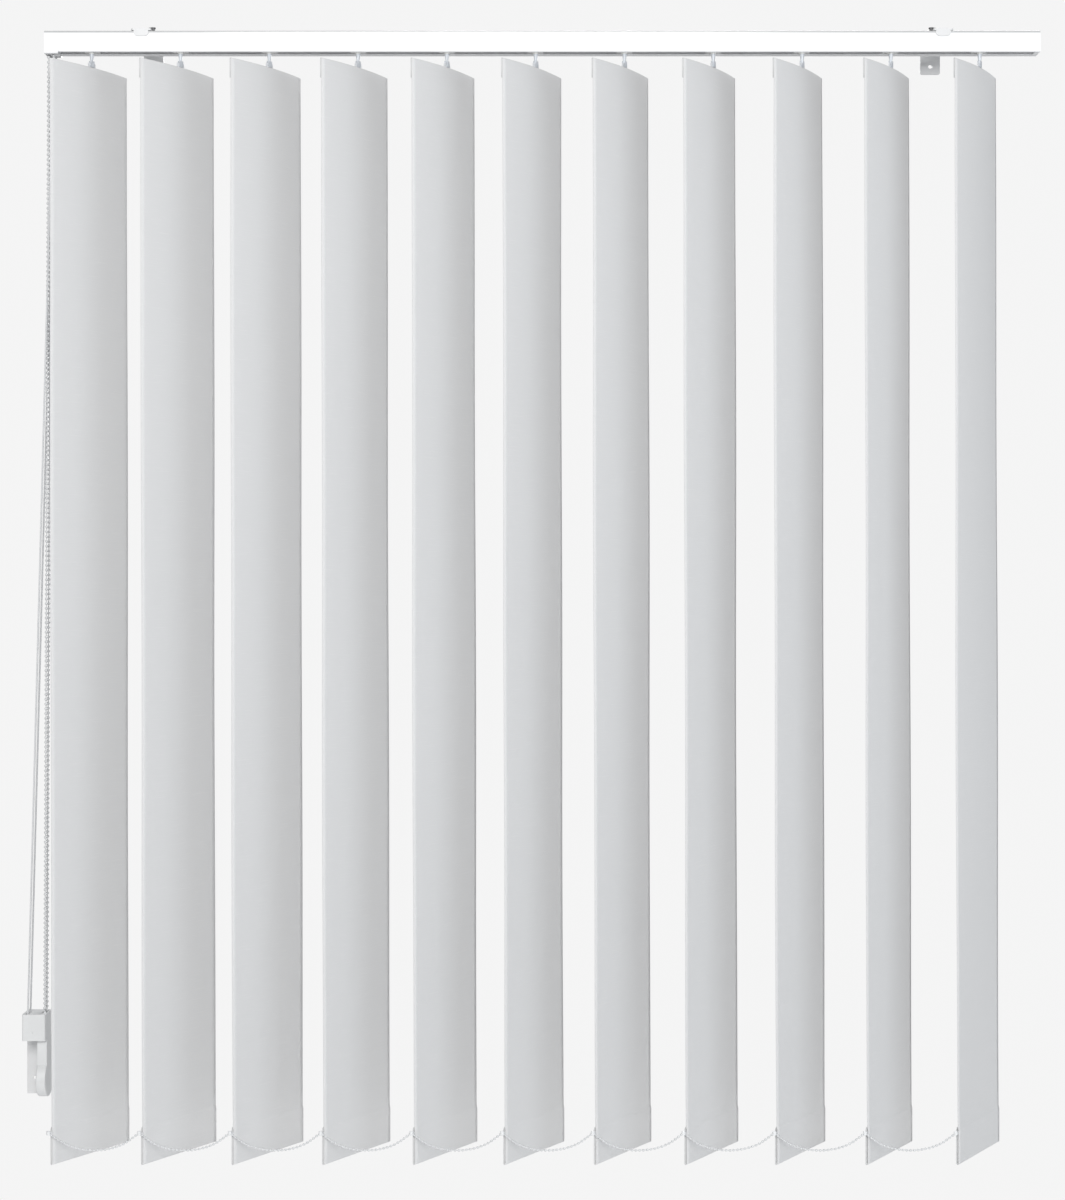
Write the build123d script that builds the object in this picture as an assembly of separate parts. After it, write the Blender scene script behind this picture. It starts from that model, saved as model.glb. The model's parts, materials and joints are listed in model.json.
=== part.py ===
from build123d import *
import os
from math import asin, cos, degrees, pi, radians, sin, sqrt

os.makedirs("parts", exist_ok=True)

# A vertical blind: eleven cloth vanes hang from carriers in a white headrail.
# X runs along the rail, +Y points at the wall, Z is up. The wall is the plane Y = 0 and
# the origin is the middle of the wall-screw pattern. All sizes are in millimetres.

# Headrail
rail_length = 1230.0  # over both end caps
rail_depth = 25.0
rail_height = 26.0
rail_wall = 1.3
rail_corner = 1.5
rail_centre_y = -73.0
rail_underside_z = -10.0
slot_width = 9.2

# Lines inside the rail, measured from its centre plane and its underside
hook_offset_y = -3.0
rod_height = 10.5
cord_offset_y = 7.0

# Vanes
vane_pitch = 110.0
first_vane_inset = 57.0  # from the control end of the rail to the first pivot
last_vane_inset = 60.0  # the least that the last pivot keeps from the other end
vane_width = 127.0
vane_length = 1345.0
vane_drop = 17.5  # from the rail's underside to the top of the cloth
vane_turn = 55.0  # degrees between the vane and the rail at rest
vane_bow = 6.0  # how far the top of the vane bows out of flat
cloth = 0.6
pocket_height = 46.0

# Hanger in the top of each vane
hanger_inset = 13.5  # at each edge of the cloth
hanger_height = 18.0
hanger_thick = 1.0
tongue_width = 12.0
tongue_height = 5.0
tongue_hole_drop = 2.5  # below the top of the tongue
tongue_hole_radius = 1.3

# Weight in the bottom of each vane, with its chain clip
weight_inset = 4.5  # at each edge of the cloth
weight_height = 40.0
weight_thick = 2.0
clip_height = 40.0  # above the bottom of the vane
clip_reach = 5.0  # beyond the near edge of the vane
clip_arm = 3.0
clip_knob_radius = 2.4
clip_knob_height = 5.0

# Carriers
carrier_length = 19.0
glide_reach = 1.4  # how far the glides stand out of the carrier's sides
glide_height = 3.0
carrier_top_gap = 1.0
glide_gap = 0.3
neck_radius = 3.6
neck_drop = 1.0  # below the rail's underside
spacer_width = 8.0
spacer_thick = 0.3
spacer_step = 0.45
spacer_levels = 6
spacer_channel = 3.6  # how deep the channel for the strips is in a carrier's top
spacer_tail = 5.0

# Hook and its pinion
stem_radius = 2.2
collar_radius = 3.0
collar_thick = 1.0
taper_radius = 1.7
pinion_teeth = 12
pinion_root = 2.3
pinion_tip = 3.1
pinion_height = 5.0
pivot_radius = 1.4
pivot_length = 2.5
fork_width = 6.0
fork_leg = 1.2
fork_bridge = 2.6
fork_pin_radius = 1.2

# Tilt drive
rod_side = 2.6
rod_journal_radius = 1.5
rod_journal_length = 9.5
worm_radius = 2.7
worm_thread = 1.0  # room round the worm for its thread
worm_inset = 1.0  # the worm's ends stop inside the carrier's ends
worm_chamber_length = 10.6
mesh_gap = 0.2  # between the worm and the tips of the pinion
sprocket_radius = 6.8
sprocket_thick = 4.6
sprocket_hub_wall = 0.29
sprocket_hub_length = 9.0
bead_pockets = 6
chain_radius = 6.0  # the chain's own bend round the sprocket and in the tensioner
bead_radius = 2.1
thread_radius = 0.65

# Traverse drive
cord_radius = 1.1
cord_turn_radius = 5.0
pulley_radius = 8.2
pulley_thick = 5.0
pulley_pin_radius = 2.0
pulley_pin_length = 6.6

# End caps
control_cap_width = 17.0
control_cap_drop = 2.0
idler_cap_width = 6.0
cap_wall = 1.0
plug_length = 10.0
plug_cheek = 2.1
idler_plug_length = 22.0
pulley_shelf = 1.8
pulley_inset = 11.0  # from the inner face of the idler cap to the pulley's pin

# Wall brackets
bracket_inset = 120.0  # from each end of the rail to the middle of a bracket
bracket_width = 25.0
bracket_steel = 2.0
bracket_leg_drop = 8.0  # below the rail's underside
bracket_bend = 2.5
screw_spacing_z = 16.0
screw_hole_radius = 2.5
tab_width = 18.5
tab_height = 10.0
tab_thick = 1.2
tab_drop = 7.0  # below the rail's top
rear_lip_height = 6.0
rear_lip_thick = 1.3

# Release levers on the brackets
lever_thick = 1.2
lever_width = 6.0
lever_reach_y = 11.0
lever_knob_radius = 2.0
rivet_radius = 1.5
rivet_head_radius = 3.0
rivet_head_thick = 1.2

# Tensioner that holds the two loops at the wall
tension_out = 36.5  # how far its left face stands beyond the rail's end
tension_drop = 1197.0  # from the rail's underside to its top
tension_off = 0.5  # between its round shell and the flange on the wall
head_height = 33.0
head_wall = 2.0
disc_radius = 23.5
disc_thick = 12.0
disc_drop = 83.5  # from its top to the middle of the round shell
neck_depth = 28.0
tension_cord_inset = 6.0  # from its left face to the cord's plane
tension_cord_drop = 17.0  # from the top of the head to the cord's guide post
tension_cord_step = 11.5  # how far the guide post stands out from the chain's boss
tension_chain_out = 12.1  # from the rail's end to the chain's plane
tension_wall = 1.2
tension_plate = 2.0
flange_width = 22.0
flange_height = 100.0
flange_drop = 110.0  # from its top to the lower end of the flange
tension_hole_radius = 2.2
tension_hole_spacing = 60.0
cover_screw_radius = 1.8
cover_screw_depth = 0.8

# Clearances
fit_gap = 0.08  # a shaft in its bearing
loose_gap = 0.3  # moving faces that pass each other
slide_gap = 0.1  # a bar in its hole
cord_gap = 0.5

# Bottom chain
chain_sag = 21.0
bottom_thread_radius = 0.65

rail_top_z = rail_underside_z + rail_height
rail_left_x = -rail_length / 2
rail_right_x = rail_length / 2
profile_left_x = rail_left_x + control_cap_width
profile_right_x = rail_right_x - idler_cap_width
cavity_depth = rail_depth - 2 * rail_wall
cavity_top = rail_height - rail_wall
glide_depth = cavity_depth - 4 * slide_gap
carrier_body_depth = glide_depth - 2 * glide_reach
carrier_top = cavity_top - carrier_top_gap
spacer_floor = carrier_top - spacer_channel
cord_height = spacer_floor - cord_radius - 2 * cord_gap
worm_length = carrier_length - 2 * worm_inset
worm_chamber_radius = worm_radius + worm_thread
sprocket_hub_radius = (rod_side + slide_gap) * sqrt(2) / 2 + sprocket_hub_wall
rod_offset_y = hook_offset_y + pinion_tip + worm_radius + mesh_gap
first_vane_x = rail_left_x + first_vane_inset
vane_count = int((rail_length - first_vane_inset - last_vane_inset) / vane_pitch) + 1
hanger_width = vane_width - 2 * hanger_inset
weight_width = vane_width - 2 * weight_inset
bracket_x = rail_right_x - bracket_inset
tension_left_x = rail_left_x - tension_out
tension_chain_x = rail_left_x - tension_chain_out
tension_cord_x = tension_left_x + tension_cord_inset
tension_y = -tension_plate - tension_off - disc_radius
tension_cord_y = tension_y - tension_cord_step
tension_top_z = rail_underside_z - tension_drop
disc_centre_z = tension_top_z - disc_drop
flange_bottom_z = tension_top_z - flange_drop
hook_y = rail_centre_y + hook_offset_y
rod_y = rail_centre_y + rod_offset_y
rod_z = rail_underside_z + rod_height
cord_z = rail_underside_z + cord_height
vane_top_z = rail_underside_z - vane_drop
vane_bottom_z = vane_top_z - vane_length
bow_radius = (vane_width**2 / 4 + vane_bow**2) / (2 * vane_bow)


def span(x, y, z):
    """A box between three pairs of limits."""
    size = [high - low for low, high in (x, y, z)]
    centre = [(high + low) / 2 for low, high in (x, y, z)]
    return Pos(*centre) * Box(*size)


def rail_span(x, y, z):
    """A box whose Y and Z limits are measured from the rail's centre plane and underside."""
    return span(
        x,
        [rail_centre_y + value for value in y],
        [rail_underside_z + value for value in z],
    )


def bar_x(x, y, z, radius):
    """A round bar along X between two limits."""
    low, high = x
    return Pos((low + high) / 2, y, z) * Rot(0, 90, 0) * Cylinder(radius, high - low)


def bar_y(x, y, z, radius):
    """A round bar along Y between two limits."""
    low, high = y
    return Pos(x, (low + high) / 2, z) * Rot(90, 0, 0) * Cylinder(radius, high - low)


def bar_z(x, y, z, radius):
    """A round bar along Z between two limits."""
    low, high = z
    return Pos(x, y, (low + high) / 2) * Cylinder(radius, high - low)


def tube(path, radius):
    """A round cord along a path."""
    section = Plane(origin=path @ 0, z_dir=path % 0) * Circle(radius)
    return sweep(section, path=path)


def vane_x(number):
    """Where a vane's pivot is along the rail. Vanes count from one at the control end."""
    return first_vane_x + (number - 1) * vane_pitch


def headrail():
    """The aluminium profile, open along a slot underneath."""
    inside = cavity_depth / 2
    slot = [hook_offset_y - slot_width / 2, hook_offset_y + slot_width / 2]
    along = [profile_left_x, profile_right_x]
    past = [profile_left_x - 1, profile_right_x + 1]
    body = rail_span(along, [-rail_depth / 2, rail_depth / 2], [0, rail_height])
    body = fillet(body.edges().filter_by(Axis.X), rail_corner)
    body -= rail_span(past, [-inside, inside], [rail_wall, cavity_top])
    body -= rail_span(past, slot, [-1, rail_wall + 1])
    return body


def cap_block(x, drop):
    """The outside of an end cap, which carries on the rail's own section."""
    half = rail_depth / 2
    block = rail_span(x, [-half, half], [-drop, rail_height])
    return fillet(block.edges().filter_by(Axis.X), rail_corner)


def plug_cheeks(x):
    """The two ribs that hold a cap in the end of the profile."""
    outer = cavity_depth / 2 - slide_gap
    inner = outer - plug_cheek
    z = [rail_wall + slide_gap, cavity_top - slide_gap]
    return rail_span(x, [-outer, -inner], z) + rail_span(x, [inner, outer], z)


def chain_plane_x():
    """The middle of the chain's chamber in the control cap."""
    return rail_left_x + cap_wall + bead_radius + cord_gap


def cord_drop_x():
    """Where the draw cord turns down in the control cap."""
    return profile_left_x - cord_turn_radius - cord_radius + loose_gap


def control_end_cap():
    """The cap that houses the sprocket and turns the draw cord down."""
    cap = cap_block([rail_left_x, profile_left_x], control_cap_drop)
    cap += plug_cheeks([profile_left_x, profile_left_x + plug_length])
    chamber_radius = chain_radius + bead_radius + cord_gap
    chain_x = chain_plane_x()
    chamber_x = [chain_x - bead_radius - cord_gap, chain_x + bead_radius + cord_gap]
    cap -= bar_x(chamber_x, rod_y, rod_z, chamber_radius)
    cap -= span(
        chamber_x,
        [rod_y - chamber_radius, rod_y + chamber_radius],
        [rail_underside_z - control_cap_drop - 1, rod_z],
    )
    cap -= bar_x([chamber_x[1] - 1, profile_left_x + 1], rod_y, rod_z, sprocket_hub_radius + fit_gap)
    shaft_half = cord_radius + cord_gap
    shaft_x = [chamber_x[1] + cap_wall, profile_left_x - cap_wall]
    lean = cord_run(0).Y / -cord_run(0).Z * (cord_height + control_cap_drop)
    for side in (-cord_offset_y, cord_offset_y):
        y = rail_centre_y + side
        shaft_y = [y - shaft_half, y + shaft_half + lean]
        shaft_z = [rail_underside_z - control_cap_drop - 1, cord_z + shaft_half]
        saddle_x = cord_drop_x() + cord_turn_radius
        saddle_z = cord_z - cord_turn_radius
        saddle = bar_y(saddle_x, shaft_y, saddle_z, cord_turn_radius - cord_radius - fit_gap)
        saddle -= span(
            [profile_left_x, saddle_x + cord_turn_radius],
            [shaft_y[0] - 1, shaft_y[1] + 1],
            [saddle_z - cord_turn_radius, cord_z],
        )
        cap -= span(shaft_x, shaft_y, shaft_z)
        cap += saddle
        cap -= bar_x([profile_left_x - 3 * cap_wall, profile_left_x + 1], y, cord_z, shaft_half)
    return cap


def idler_end_cap():
    """The far cap, with the pin that the draw cord's pulley turns on."""
    cap = cap_block([profile_right_x, rail_right_x], 0)
    inner_x = profile_right_x - idler_plug_length
    cap += plug_cheeks([inner_x, profile_right_x])
    pin_x = profile_right_x - pulley_inset
    shelf_top = cord_height - pulley_thick / 2 - loose_gap
    outer = cavity_depth / 2 - slide_gap
    cap += rail_span(
        [inner_x, profile_right_x], [-outer, outer], [shelf_top - pulley_shelf, shelf_top]
    )
    shelf_z = rail_underside_z + shelf_top
    cap += bar_z(pin_x, rail_centre_y, [shelf_z, shelf_z + pulley_pin_length], pulley_pin_radius)
    cap -= bar_x(
        [profile_right_x - 1, rail_right_x - cap_wall], rod_y, rod_z, rod_journal_radius + fit_gap
    )
    return cap


def idler_pulley():
    """The grooved pulley that sends the draw cord back."""
    pin_x = profile_right_x - pulley_inset
    wheel = Cylinder(pulley_radius, pulley_thick)
    groove_radius = cord_radius + slide_gap
    slot = Cylinder(pulley_radius + 1, 2 * groove_radius)
    slot -= Cylinder(cord_offset_y, pulley_thick)
    wheel -= Torus(cord_offset_y, groove_radius)
    wheel -= slot
    wheel -= Cylinder(pulley_pin_radius + fit_gap, pulley_thick + 2)
    return Pos(pin_x, rail_centre_y, cord_z) * wheel


def bracket_arm_z():
    """The lower and upper faces of a bracket's arm."""
    low = rail_top_z + loose_gap
    return [low, low + bracket_steel]


def wall_bracket(centre_x):
    """A steel angle that holds the rail by a lip in front and one behind."""
    half = bracket_width / 2
    across = [centre_x - half, centre_x + half]
    arm_z = bracket_arm_z()
    front_y = rail_centre_y - rail_depth / 2
    rear_y = rail_centre_y + rail_depth / 2
    leg_low = rail_underside_z - bracket_leg_drop
    bracket = span(across, [-bracket_steel, 0], [leg_low, arm_z[1]])
    arm_end_y = front_y - loose_gap - tab_thick
    arm = span(across, [arm_end_y, 0], arm_z)
    arm = fillet(arm.edges().filter_by(Axis.Z).group_by(Axis.Y)[0], bracket_bend)
    bracket += arm
    heel = bracket.edges().filter_by(Axis.X).group_by(Axis.Y)[-1].sort_by(Axis.Z)[-1]
    bracket = fillet(heel, bracket_steel * 0.9)
    toes = bracket.edges().filter_by(Axis.Y).group_by(Axis.Z)[0]
    bracket = fillet(toes, bracket_bend)
    bracket += span(
        across,
        [rear_y + loose_gap, rear_y + loose_gap + rear_lip_thick],
        [rail_top_z - rear_lip_height, arm_z[0]],
    )
    tab = extrude(SlotOverall(tab_width, tab_height), tab_thick)
    tab_z = rail_top_z - tab_drop + tab_height / 2
    bracket += Pos(centre_x, front_y - loose_gap, tab_z) * Rot(90, 0, 0) * tab
    for height in (-screw_spacing_z / 2, screw_spacing_z / 2):
        bracket -= bar_y(centre_x, [-bracket_steel - 1, 1], height, screw_hole_radius)
    bracket -= bar_z(centre_x, rail_centre_y, [arm_z[0] - 1, arm_z[1] + 1], rivet_radius)
    return bracket


def bracket_lever(centre_x, inward):
    """The thumb lever on top of a bracket. Its knob stands beside the arm, on the inner side."""
    low = bracket_arm_z()[1] + slide_gap
    high = low + lever_thick
    reach_x = bracket_width / 2 + lever_knob_radius + loose_gap
    knob_x = centre_x + inward * reach_x
    knob_y = rail_centre_y - lever_reach_y
    reach = sqrt(reach_x**2 + lever_reach_y**2)
    turn = -degrees(asin(lever_reach_y / reach))
    if inward < 0:
        turn = 180 - turn
    blade = extrude(SlotCenterToCenter(reach, lever_width), lever_thick)
    middle = Pos((centre_x + knob_x) / 2, (rail_centre_y + knob_y) / 2, low)
    lever = middle * Rot(0, 0, turn) * blade
    lever += bar_z(knob_x, knob_y, [rail_top_z + loose_gap, high], lever_knob_radius)
    lever -= bar_z(centre_x, rail_centre_y, [low - 1, high + 1], rivet_radius + fit_gap)
    return lever


def lever_rivet(centre_x):
    """The rivet that a bracket's lever turns on."""
    low, arm_top = bracket_arm_z()
    head_low = arm_top + lever_thick + 2 * slide_gap
    rivet = bar_z(centre_x, rail_centre_y, [low, head_low], rivet_radius)
    head_z = [head_low, head_low + rivet_head_thick]
    return rivet + bar_z(centre_x, rail_centre_y, head_z, rivet_head_radius)


def chain_run():
    """The direction of the bead chain from the sprocket down to the tensioner."""
    top = Vector(chain_plane_x(), rod_y, rod_z)
    return (Vector(tension_chain_x, tension_y, disc_centre_z) - top).normalized()


def cord_post_z():
    """The height of the draw cord's guide post in the tensioner."""
    return tension_top_z - tension_cord_drop


def cord_run(side):
    """The direction of a run of the draw cord, from the cap's corner to the guide post."""
    top = Vector(cord_drop_x(), rail_centre_y + side, cord_z)
    return (Vector(tension_cord_x, tension_cord_y + side, cord_post_z()) - top).normalized()


def across(run):
    """The direction across a loop, square to its runs and nearest to Y."""
    return (Vector(0, 1, 0) - run * run.Y).normalized()


def tension_right_x():
    """The right face of the tensioner, clear of the chain as it leans in the neck."""
    lean = chain_run().X / chain_run().Z * disc_drop
    return tension_chain_x + bead_radius + cord_gap + lean + tension_wall


def disc_left_x():
    """The left face of the tensioner's round shell."""
    return tension_right_x() - disc_thick


def tension_rivet_places():
    """Where the shell is riveted to its bracket, as Y and Z."""
    y = tension_y + (chain_radius + bead_radius + cord_gap + disc_radius) / 2
    return [(y, disc_centre_z + 5), (y, disc_centre_z - 5)]


def tension_rivet(y, z):
    """A rivet through the tensioner's bracket and shell."""
    left = disc_left_x() - tension_plate
    right = tension_right_x()
    rivet = bar_x([left, right], y, z, rivet_radius)
    rivet += bar_x([left - rivet_head_thick, left], y, z, rivet_head_radius)
    return rivet + bar_x([right, right + rivet_head_thick], y, z, rivet_head_radius)


def rivets():
    """All the rivets, as one group."""
    solids = [lever_rivet(-bracket_x), lever_rivet(bracket_x)]
    for y, z in tension_rivet_places():
        solids.append(tension_rivet(y, z))
    return solids


def tilt_rod():
    """The square bar that turns every worm, with a round end in the idler cap."""
    left = chain_plane_x() + sprocket_thick / 2
    right = profile_right_x - rod_journal_length / 2
    middle = Pos((left + right) / 2, rod_y, rod_z)
    rod = middle * Box(right - left, rod_side, rod_side)
    return rod + bar_x([right, right + rod_journal_length], rod_y, rod_z, rod_journal_radius)


def chain_sprocket():
    """The scalloped wheel that the bead chain turns, with its hub on the rod."""
    half = sprocket_thick / 2
    wheel = Cylinder(sprocket_radius, sprocket_thick)
    wheel += Pos(0, 0, half + sprocket_hub_length / 2) * Cylinder(
        sprocket_hub_radius, sprocket_hub_length
    )
    groove = Cylinder(sprocket_radius + 1, 2 * (thread_radius + slide_gap))
    groove -= Cylinder(chain_radius - thread_radius - slide_gap, sprocket_thick)
    wheel -= groove
    for number in range(bead_pockets):
        turn = Rot(0, 0, 360 / bead_pockets * number)
        wheel -= turn * Pos(chain_radius, 0, 0) * Cylinder(bead_radius + slide_gap, sprocket_thick + 2)
    hole = rod_side + slide_gap
    wheel -= Pos(0, 0, half + sprocket_hub_length / 2) * Box(hole, hole, sprocket_hub_length)
    return Pos(chain_plane_x(), rod_y, rod_z) * Rot(0, 90, 0) * wheel


def worm(number):
    """The worm on the rod in one carrier. Its fine thread is left off."""
    body = Cylinder(worm_radius, worm_length)
    hole = rod_side + 2 * slide_gap
    body -= Box(hole, hole, worm_length + 2)
    return Pos(vane_x(number), rod_y, rod_z) * Rot(0, 90, 0) * body


def pinion_z():
    """The lower and upper faces of a hook's pinion, centred on the rod."""
    return [rod_z - pinion_height / 2, rod_z + pinion_height / 2]


def carrier_body(number):
    """The moulded carrier that slides in the rail and holds a hook and its worm."""
    x = vane_x(number)
    half = carrier_length / 2
    along = [x - half, x + half]
    past = [x - half - 1, x + half + 1]
    floor = rail_wall + glide_gap
    body = rail_span(along, [-carrier_body_depth / 2, carrier_body_depth / 2], [floor, carrier_top])
    glides = rail_span(along, [-glide_depth / 2, glide_depth / 2], [floor, floor + glide_height])
    body += fillet(glides.edges().filter_by(Axis.Z), 1.0)
    neck_z = [rail_underside_z - neck_drop, rail_underside_z + floor + 1]
    body += bar_z(x, hook_y, neck_z, neck_radius)
    low, high = pinion_z()
    body -= bar_z(x, hook_y, [neck_z[0] - 1, low], stem_radius + fit_gap)
    body -= bar_z(x, hook_y, [low - loose_gap, high + loose_gap], pinion_tip + loose_gap)
    body -= bar_z(x, hook_y, [high, high + pivot_length + loose_gap], pivot_radius + fit_gap)
    chamber = [x - worm_chamber_length / 2, x + worm_chamber_length / 2]
    body -= bar_x(chamber, rod_y, rod_z, worm_chamber_radius)
    body -= bar_x(past, rod_y, rod_z, worm_radius + fit_gap)
    for side in (-cord_offset_y, cord_offset_y):
        body -= bar_x(past, rail_centre_y + side, cord_z, cord_radius + cord_gap)
    channel = spacer_width / 2 + loose_gap
    body -= rail_span(past, [-channel, channel], [spacer_floor, carrier_top + 1])
    return body


def spacer(number):
    """The thin strip that sets the distance to the next carrier, each on its own level."""
    x = vane_x(number)
    level = (number - 1) % spacer_levels
    low = spacer_floor + spacer_step * level + spacer_step - spacer_thick
    reach = vane_pitch + spacer_tail
    return rail_span(
        [x - carrier_length / 4, x + reach],
        [-spacer_width / 2, spacer_width / 2],
        [low, low + spacer_thick],
    )


def carrier(number):
    """A carrier with its spacer. The last carrier leads and needs none."""
    solids = [carrier_body(number)]
    if number < vane_count:
        solids.append(spacer(number))
    return solids


def pinion():
    """A straight-toothed pinion about Z, with its lower face at zero."""
    blank = Cylinder(pinion_root, pinion_height)
    tooth_width = pi * pinion_root / pinion_teeth
    tooth_depth = pinion_tip - pinion_root + 0.4
    for number in range(pinion_teeth):
        tooth = Pos(pinion_tip - tooth_depth / 2, 0, 0) * Box(tooth_depth, tooth_width, pinion_height)
        blank += Rot(0, 0, 360 / pinion_teeth * number) * tooth
    blank &= Cylinder(pinion_tip, pinion_height)
    return Pos(0, 0, pinion_height / 2) * blank


def place_vane(number, shape):
    """Turns a shape to a vane's rest angle and puts it under its carrier."""
    return Pos(vane_x(number), hook_y, 0) * Rot(0, 0, vane_turn) * shape


def hook(number):
    """The stem, pinion and fork that hold one vane."""
    low, high = pinion_z()
    collar_top = rail_underside_z - neck_drop - slide_gap
    collar_low = collar_top - collar_thick
    tongue_top = vane_top_z + tongue_height
    fork_top = tongue_top + slide_gap + fork_bridge
    leg_low = vane_top_z + loose_gap
    stem = bar_z(0, 0, [collar_low, low], stem_radius)
    stem += Pos(0, 0, low) * pinion()
    stem += bar_z(0, 0, [high, high + pivot_length], pivot_radius)
    stem += bar_z(0, 0, [collar_low, collar_top], collar_radius)
    taper = Cone(taper_radius, collar_radius - 0.3, collar_low - fork_top)
    stem += Pos(0, 0, (collar_low + fork_top) / 2) * taper
    half = fork_width / 2
    inner = hanger_thick / 2 + slide_gap
    outer = inner + fork_leg
    stem += span([-half, half], [-outer, outer], [fork_top - fork_bridge, fork_top])
    for side in (-1, 1):
        leg_y = sorted([side * inner, side * outer])
        stem += span([-half, half], leg_y, [leg_low, fork_top])
    pin_z = tongue_top - tongue_hole_drop
    stem += bar_y(0, [-outer, outer], pin_z, fork_pin_radius)
    return place_vane(number, stem)


def bowed_band(width, front_y, thick):
    """The section of a sheet bowed on the vane's own radius, between two arcs."""
    half = width / 2
    edge_y = front_y + bow_radius - sqrt(bow_radius**2 - half**2)
    front = ThreePointArc((-half, edge_y), (0, front_y), (half, edge_y))
    back = ThreePointArc((half, edge_y + thick), (0, front_y + thick), (-half, edge_y + thick))
    right = Line((half, edge_y), (half, edge_y + thick))
    left = Line((-half, edge_y + thick), (-half, edge_y))
    return make_face(Wire([front, right, back, left]))


def flat_band(width, front_y, thick):
    """The section of the sheet where it runs into the flat pocket, with the same four edges."""
    half = width / 2
    rise = cloth / 4
    front = ThreePointArc((-half, front_y), (0, front_y - rise), (half, front_y))
    back = ThreePointArc(
        (half, front_y + thick), (0, front_y - rise + thick), (-half, front_y + thick)
    )
    right = Line((half, front_y), (half, front_y + thick))
    left = Line((-half, front_y + thick), (-half, front_y))
    return make_face(Wire([front, right, back, left]))


def pocket_middle_y():
    """The flat pocket hangs under the middle of the bowed cloth."""
    return vane_bow / 3


def vane_cloth():
    """One vane's cloth: bowed at the top, easing to a flat pocket round the weight."""
    front_y = -hanger_thick / 2 - cloth
    pocket_top = vane_bottom_z + pocket_height
    top = Pos(0, 0, vane_top_z - hanger_height) * bowed_band(vane_width, front_y, cloth)
    low = Pos(0, 0, pocket_top) * flat_band(vane_width, pocket_middle_y() - cloth / 2, cloth)
    sheet = loft([low, top], ruled=True)
    sheet += extrude(top, hanger_height)
    inner = weight_thick / 2 + slide_gap
    outer = inner + cloth
    half = vane_width / 2
    middle = pocket_middle_y()
    sleeve = span([-half, half], [middle - outer, middle + outer], [vane_bottom_z, pocket_top])
    sleeve -= span(
        [-half - 1, half + 1],
        [middle - inner, middle + inner],
        [vane_bottom_z + cloth, pocket_top - cloth],
    )
    return sheet + sleeve


def vane_hanger():
    """The plastic card in the top of a vane, with the tongue that the hook holds."""
    band = bowed_band(hanger_width, -hanger_thick / 2, hanger_thick)
    card = extrude(Pos(0, 0, vane_top_z - hanger_height) * band, hanger_height)
    tongue_half = tongue_width / 2
    tongue_z = [vane_top_z, vane_top_z + tongue_height]
    thick = [-hanger_thick / 2, hanger_thick / 2]
    tongue = span([-tongue_half, tongue_half], thick, tongue_z)
    tongue = fillet(tongue.edges().filter_by(Axis.Y).group_by(Axis.Z)[-1], 1.5)
    card += tongue
    hole_z = vane_top_z + tongue_height - tongue_hole_drop
    return card - bar_y(0, [-hanger_thick, hanger_thick], hole_z, tongue_hole_radius)


def clip_reach_u():
    """How far the chain's clip stands from the vane's pivot, along the vane."""
    return vane_width / 2 + clip_reach


def vane_weight():
    """The flat weight in the bottom pocket, with its chain clip at the near edge."""
    middle = pocket_middle_y()
    thick = [middle - weight_thick / 2, middle + weight_thick / 2]
    low = vane_bottom_z + cloth + slide_gap
    plate = span([-weight_width / 2, weight_width / 2], thick, [low, low + weight_height])
    plate = fillet(plate.edges().filter_by(Axis.Y), 2.0)
    clip_z = vane_bottom_z + clip_height
    arm_z = [clip_z - clip_arm, clip_z]
    plate += span([-clip_reach_u(), 0], thick, arm_z)
    knob_z = [clip_z - clip_arm, clip_z - clip_arm + clip_knob_height]
    return plate + bar_z(-clip_reach_u(), middle, knob_z, clip_knob_radius)


def vane(number):
    """A vane's cloth, hanger and weight, as three solids."""
    pieces = [vane_cloth(), vane_hanger(), vane_weight()]
    return [place_vane(number, piece) for piece in pieces]


def clip_place(number):
    """The middle of a vane's chain clip in X and Y."""
    turn = radians(vane_turn)
    along = -clip_reach_u()
    across = pocket_middle_y()
    x = vane_x(number) + along * cos(turn) - across * sin(turn)
    return x, hook_y + along * sin(turn) + across * cos(turn)


def bottom_chain():
    """The chain's thread between the clips, one hanging arc for each gap."""
    z = vane_bottom_z + clip_height - clip_arm + clip_knob_height / 2
    clear = clip_knob_radius + bottom_thread_radius
    solids = []
    for number in range(1, vane_count):
        x, y = clip_place(number)
        start = (x + clear, y, z)
        low = (x + vane_pitch / 2, y, z - chain_sag)
        end = (x + vane_pitch - clear, y, z)
        solids.append(tube(ThreePointArc(start, low, end), bottom_thread_radius))
    return solids


def draw_cord():
    """The loop that moves the lead carrier, open at its knots inside that carrier."""
    front_y = rail_centre_y - cord_offset_y
    back_y = rail_centre_y + cord_offset_y
    lead_x = vane_x(vane_count)
    pin_x = profile_right_x - pulley_inset
    corner_x = cord_drop_x()
    post = Vector(tension_cord_x, tension_cord_y, cord_post_z())
    half = across(cord_run(0)) * cord_offset_y
    low = post + cord_run(0) * cord_offset_y
    out = Line((lead_x + 0.5, front_y, cord_z), (pin_x, front_y, cord_z))
    turn = ThreePointArc(
        (pin_x, front_y, cord_z),
        (pin_x + cord_offset_y, rail_centre_y, cord_z),
        (pin_x, back_y, cord_z),
    )
    back = FilletPolyline(
        (pin_x, back_y, cord_z),
        (corner_x, back_y, cord_z),
        post + half,
        radius=cord_turn_radius,
    )
    bend = ThreePointArc(post + half, low, post - half)
    front = FilletPolyline(
        post - half,
        (corner_x, front_y, cord_z),
        (lead_x - 0.5, front_y, cord_z),
        radius=cord_turn_radius,
    )
    path = Wire([out, turn] + list(back.edges()) + [bend] + list(front.edges()))
    return tube(path, cord_radius)


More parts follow.
